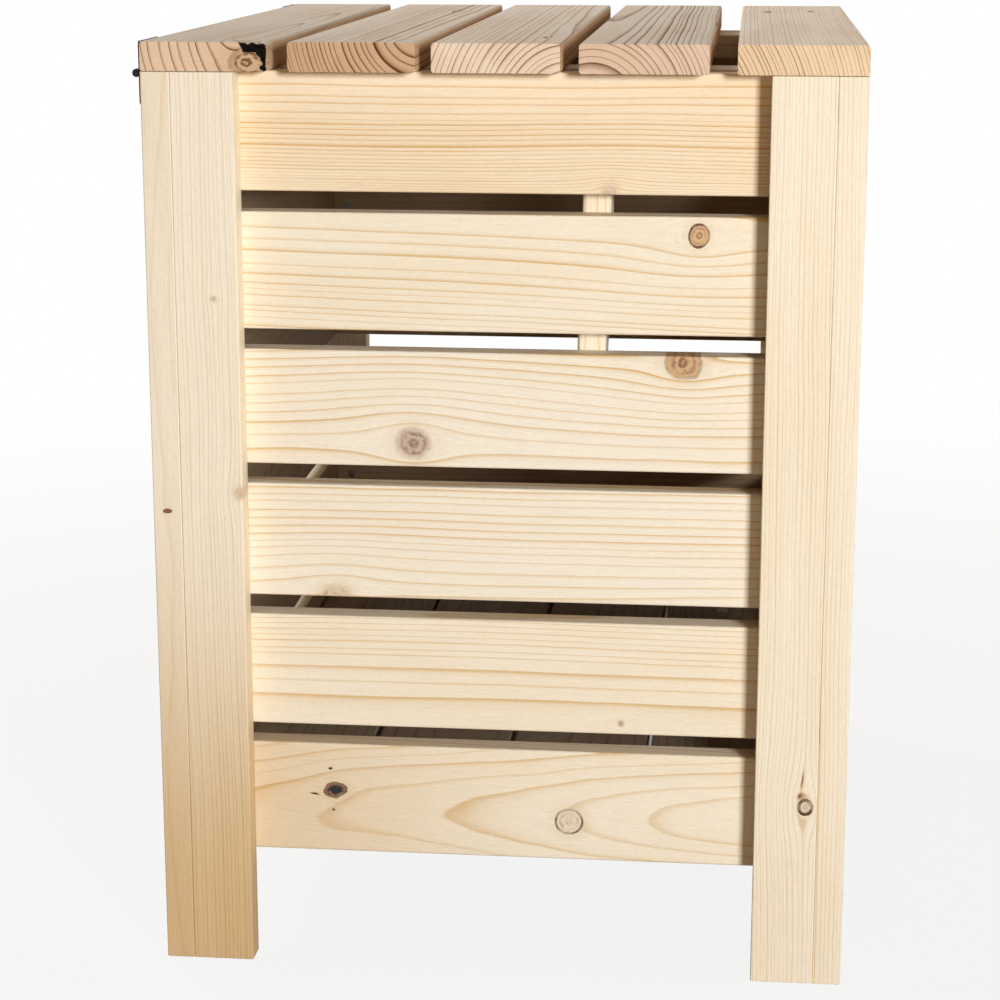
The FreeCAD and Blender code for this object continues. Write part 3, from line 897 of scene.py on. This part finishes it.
def screw_pattern(head, shank, length, rise, deep):
    """One screw with its head up at the origin: a cone, its top drawn into a cross, and its point."""
    form = bmesh.new()
    sink = head - shank
    lift = Matrix.Translation((0, 0, -sink / 2)) @ Matrix.Rotation(math.pi / screw_sides, 4, "Z")
    bmesh.ops.create_cone(
        form, cap_ends=True, segments=screw_sides, radius1=shank, radius2=head, depth=sink, matrix=lift
    )
    top = max(form.faces, key=lambda face: face.calc_center_median().z)
    foot = min(form.faces, key=lambda face: face.calc_center_median().z)
    bmesh.ops.inset_region(form, faces=[top], thickness=head * rim_share, depth=rise)
    for point in top.verts:
        if abs(abs(point.co.x) - abs(point.co.y)) < head * 0.05:
            point.co.x *= waist_share
            point.co.y *= waist_share
    pressed = bmesh.ops.extrude_discrete_faces(form, faces=[top])["faces"][0]
    bmesh.ops.translate(form, vec=(0, 0, -deep), verts=pressed.verts)
    point_face = bmesh.ops.extrude_discrete_faces(form, faces=[foot])["faces"][0]
    bmesh.ops.translate(form, vec=(0, 0, sink - length), verts=point_face.verts)
    bmesh.ops.scale(form, vec=(point_share, point_share, 1), verts=point_face.verts)
    for edge in form.edges:
        edge.smooth = edge.calc_face_angle(0.0) < sharp_turn
    pattern = bpy.data.meshes.new("screw_pattern")
    form.to_mesh(pattern)
    form.free()
    return pattern


def screw_places(node):
    """The middle of the head of each screw in a group, and the way out of the wood there."""
    form = bmesh.new()
    form.from_mesh(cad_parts[node].data)
    bmesh.ops.remove_doubles(form, verts=form.verts, dist=same_point)
    form.verts.index_update()
    places = []
    seen = set()
    for first in form.verts:
        if first.index in seen:
            continue
        seen.add(first.index)
        screw = [first]
        for point in screw:
            for edge in point.link_edges:
                other = edge.other_vert(point)
                if other.index not in seen:
                    seen.add(other.index)
                    screw.append(other)
        middle = sum((point.co for point in screw), Vector()) / len(screw)
        tip = max(screw, key=lambda point: (point.co - middle).length).co
        rim = sorted(screw, key=lambda point: (point.co - tip).length)[-cad_sides:]
        head = sum((point.co for point in rim), Vector()) / cad_sides
        places.append((head, (head - tip).normalized()))
    form.free()
    return places


def drive_screws(node, pattern, material, body):
    """Puts a screw in each place of a group, its cross turned by chance."""
    draw = random.Random(node)
    form = bmesh.new()
    for head, way in screw_places(node):
        form.from_mesh(pattern)
        form.verts.ensure_lookup_table()
        turned = way.to_track_quat("Z", "Y").to_matrix().to_4x4()
        turned = Matrix.Translation(head) @ turned @ Matrix.Rotation(draw.uniform(0, math.pi), 4, "Z")
        bmesh.ops.transform(form, matrix=turned, verts=form.verts[-len(pattern.vertices):])
    finish_piece("driven_" + node, form, material, body, [node])


def zinc_plate():
    """Zinc plating, faintly yellow, with small stains."""
    material = bpy.data.materials.new("zinc_plate")
    material.use_nodes = True
    tree = material.node_tree
    shader = tree.nodes["Principled BSDF"]
    place = tree.nodes.new("ShaderNodeTexCoord").outputs["Object"]
    stain = noise(tree, place, 400.0, 3.0).outputs["Fac"]
    colour = blend_colours(tree, stain, (0.4, 0.39, 0.36, 1), (0.3, 0.275, 0.22, 1))
    tree.links.new(colour, shader.inputs["Base Color"])
    tree.links.new(sums(tree, "MULTIPLY_ADD", stain, 0.25, 0.25), shader.inputs["Roughness"])
    shader.inputs["Metallic"].default_value = 1.0
    return material


def coat_node(node, material):
    """Gives a CAD node that stays in the scene its own material."""
    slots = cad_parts[node].data.materials
    slots.clear()
    slots.append(material)


zinc = zinc_plate()
wood_screw = screw_pattern(wood_head, wood_shank, wood_length, head_rise, cross_deep)
corner_screw = screw_pattern(wood_head, wood_shank, corner_length, head_rise, cross_deep)
flat_screw = screw_pattern(wood_head, wood_shank, wood_length, inner_rise, inner_cross)
drive_screws("wall_screws", flat_screw, zinc, "box")
drive_screws("floor_screws", wood_screw, zinc, "box")
drive_screws("corner_screws", corner_screw, zinc, "box")
drive_screws("lid_screws", wood_screw, zinc, "lid")
coat_node("prop_screw", zinc)


# Hinges: two butt hinges of pressed steel with a satin black coat. The leaves lie flat on the backs
# of the lid and the posts, their rolled knuckles turn on a steel pin, and black screws hold them.
hinge_head = 0.0035
hinge_shank = 0.00175
hinge_length = 0.016
hinge_rise = 0.0003
hinge_cross = 0.0009


def coated_steel():
    """Satin black coat with a fine uneven skin and slightly rubbed patches."""
    material = bpy.data.materials.new("satin_black_coat")
    material.use_nodes = True
    tree = material.node_tree
    shader = tree.nodes["Principled BSDF"]
    place = tree.nodes.new("ShaderNodeTexCoord").outputs["Object"]
    skin = noise(tree, place, 2600.0, 2.0).outputs["Fac"]
    rub = noise(tree, place, 90.0, 3.0).outputs["Fac"]
    worn = ramp(tree, rub, 0.5, 0.75)
    colour = blend_colours(tree, worn, (0.007, 0.007, 0.008, 1), (0.018, 0.017, 0.016, 1))
    tree.links.new(colour, shader.inputs["Base Color"])
    tree.links.new(sums(tree, "MULTIPLY_ADD", rub, 0.2, 0.3), shader.inputs["Roughness"])
    shader.inputs["Specular IOR Level"].default_value = 0.22
    bump = tree.nodes.new("ShaderNodeBump")
    bump.inputs["Strength"].default_value = 0.25
    bump.inputs["Distance"].default_value = 0.0001
    tree.links.new(skin, bump.inputs["Height"])
    tree.links.new(bump.outputs[0], shader.inputs["Normal"])
    return material


black_coat = coated_steel()
for leaf_name in ("box_leaf_left", "box_leaf_right", "lid_leaf_left", "lid_leaf_right", "pins"):
    coat_node("hinge_" + leaf_name, black_coat)
hinge_screw = screw_pattern(hinge_head, hinge_shank, hinge_length, hinge_rise, hinge_cross)
drive_screws("hinge_box_screws", hinge_screw, black_coat, "box")
drive_screws("hinge_lid_screws", hinge_screw, black_coat, "lid")
for pattern in (wood_screw, flat_screw, corner_screw, hinge_screw):
    bpy.data.meshes.remove(pattern)


# Studio: a wide plain floor and a background, both near white to the eye and in reflections. The
# floor throws a little warm light back into the shade, and its glow is cut back under the middle of the box
# as painted shade.
floor_half = 9.0
floor_bounce = (0.36, 0.27, 0.19, 1)
near_white = 0.88
near_reach = 0.5
far_reach = 2.2
deepest_shade = 0.75
shade_light = 0.055
shade_tint = (1, 0.62, 0.36, 1)


def seen_directly(tree):
    """1 where the eye, a reflection or a view through glass looks at a surface, and 0 for light."""
    paths = tree.nodes.new("ShaderNodeLightPath").outputs
    share = sums(tree, "MAXIMUM", paths["Is Camera Ray"], paths["Is Glossy Ray"])
    return sums(tree, "MAXIMUM", share, paths["Is Transmission Ray"])


floor_form = bmesh.new()
bmesh.ops.create_grid(floor_form, x_segments=1, y_segments=1, size=floor_half)
floor_mesh = bpy.data.meshes.new("studio_floor")
floor_form.to_mesh(floor_mesh)
floor_form.free()
studio_floor = bpy.data.objects.new("studio_floor", floor_mesh)
bpy.context.scene.collection.objects.link(studio_floor)
floor_white = bpy.data.materials.new("studio_white")
floor_white.use_nodes = True
floor_tree = floor_white.node_tree
floor_shader = floor_tree.nodes["Principled BSDF"]
floor_shader.inputs["Base Color"].default_value = floor_bounce
floor_shader.inputs["Roughness"].default_value = 0.9
seen = seen_directly(floor_tree)
spot = floor_tree.nodes.new("ShaderNodeTexCoord").outputs["Object"]
from_box = add_node(floor_tree, "ShaderNodeVectorMath", spot, operation="LENGTH").outputs["Value"]
seen = sums(floor_tree, "MULTIPLY", seen, ramp(floor_tree, from_box, near_reach, far_reach, near_white))
spot_parts = add_node(floor_tree, "ShaderNodeSeparateXYZ", spot).outputs
sideways = sums(floor_tree, "ABSOLUTE", spot_parts[0])
# Painted shade: under the middle of the box the floor's glow is cut back, so that it shows dark.
shade_under_box = ramp(floor_tree, sideways, 0.18, 0.27, deepest_shade, 0.0)
shade_under_box = sums(floor_tree, "MULTIPLY", shade_under_box, ramp(floor_tree, spot_parts[1], -0.06, 0.06))
shade_under_box = sums(floor_tree, "MULTIPLY", shade_under_box, ramp(floor_tree, spot_parts[1], 0.24, 0.34, 1.0, 0.0))
seen = sums(floor_tree, "MULTIPLY", seen, sums(floor_tree, "SUBTRACT", 1.0, shade_under_box))
floor_glow = floor_tree.nodes.new("ShaderNodeEmission")
floor_mix = floor_tree.nodes.new("ShaderNodeMixShader")
floor_tree.links.new(seen, floor_mix.inputs[0])
floor_tree.links.new(floor_shader.outputs[0], floor_mix.inputs[1])
floor_tree.links.new(floor_glow.outputs[0], floor_mix.inputs[2])
floor_tree.links.new(floor_mix.outputs[0], floor_tree.nodes["Material Output"].inputs["Surface"])
floor_mesh.materials.append(floor_white)

world = bpy.data.worlds.new("studio")
world.use_nodes = True
bpy.context.scene.world = world
sky = world.node_tree
sky_light = sky.nodes["Background"]
sky_seen = seen_directly(sky)
sky_level = ramp(sky, sky_seen, 0.0, 1.0, shade_light)
sky.links.new(sky_level, sky_light.inputs["Strength"])
sky_tint = blend_colours(sky, sky_seen, shade_tint, (1, 1, 1, 1))
sky.links.new(sky_tint, sky_light.inputs["Color"])


# Light: a soft key lamp stands far out at the front right, a little above the lid, and throws the
# narrow shadow of the right post. A wide weaker lamp high at the back left lights the lid's top.
def soft_box(name, place, aim, size, watts, spread, tint):
    """A square lamp at a place, turned towards a point, with its beam kept to an angle."""
    lamp = bpy.data.lights.new(name, "AREA")
    lamp.size = size
    lamp.energy = watts
    lamp.color = tint
    lamp.spread = math.radians(spread)
    stand = bpy.data.objects.new(name, lamp)
    stand.location = place
    stand.rotation_euler = (Vector(aim) - Vector(place)).to_track_quat("-Z", "Y").to_euler()
    stand.visible_camera = False
    bpy.context.scene.collection.objects.link(stand)


soft_box(
    "key_light",
    place=(1.92, -3.95, 1.37),
    aim=(-0.1, -0.3, 0.53),
    size=0.8,
    watts=71,
    spread=120,
    tint=(1, 1.025, 1.06),
)
soft_box(
    "fill_light",
    place=(-2.0, 1.3, 2.7),
    aim=(0.0, 0.0, 0.6),
    size=1.2,
    watts=88,
    spread=180,
    tint=(0.96, 1, 1.08),
)


# Camera: a long lens in front of the near end, a little to the right of it and just above the lid,
# tilted down so that the lid's top shows as a narrow band and the feet stand inside the frame.
tilt_down = 0.2248
turn_left = 0.1012
lens = bpy.data.cameras.new("front_camera")
lens.sensor_width = 36.0
lens.lens = 88.41
lens.shift_y = -0.0435
camera = bpy.data.objects.new("front_camera", lens)
camera.location = (0.1865, -2.12, 0.832)
camera.rotation_euler = (math.pi / 2 - tilt_down, 0, turn_left)
bpy.context.scene.collection.objects.link(camera)
bpy.context.scene.camera = camera
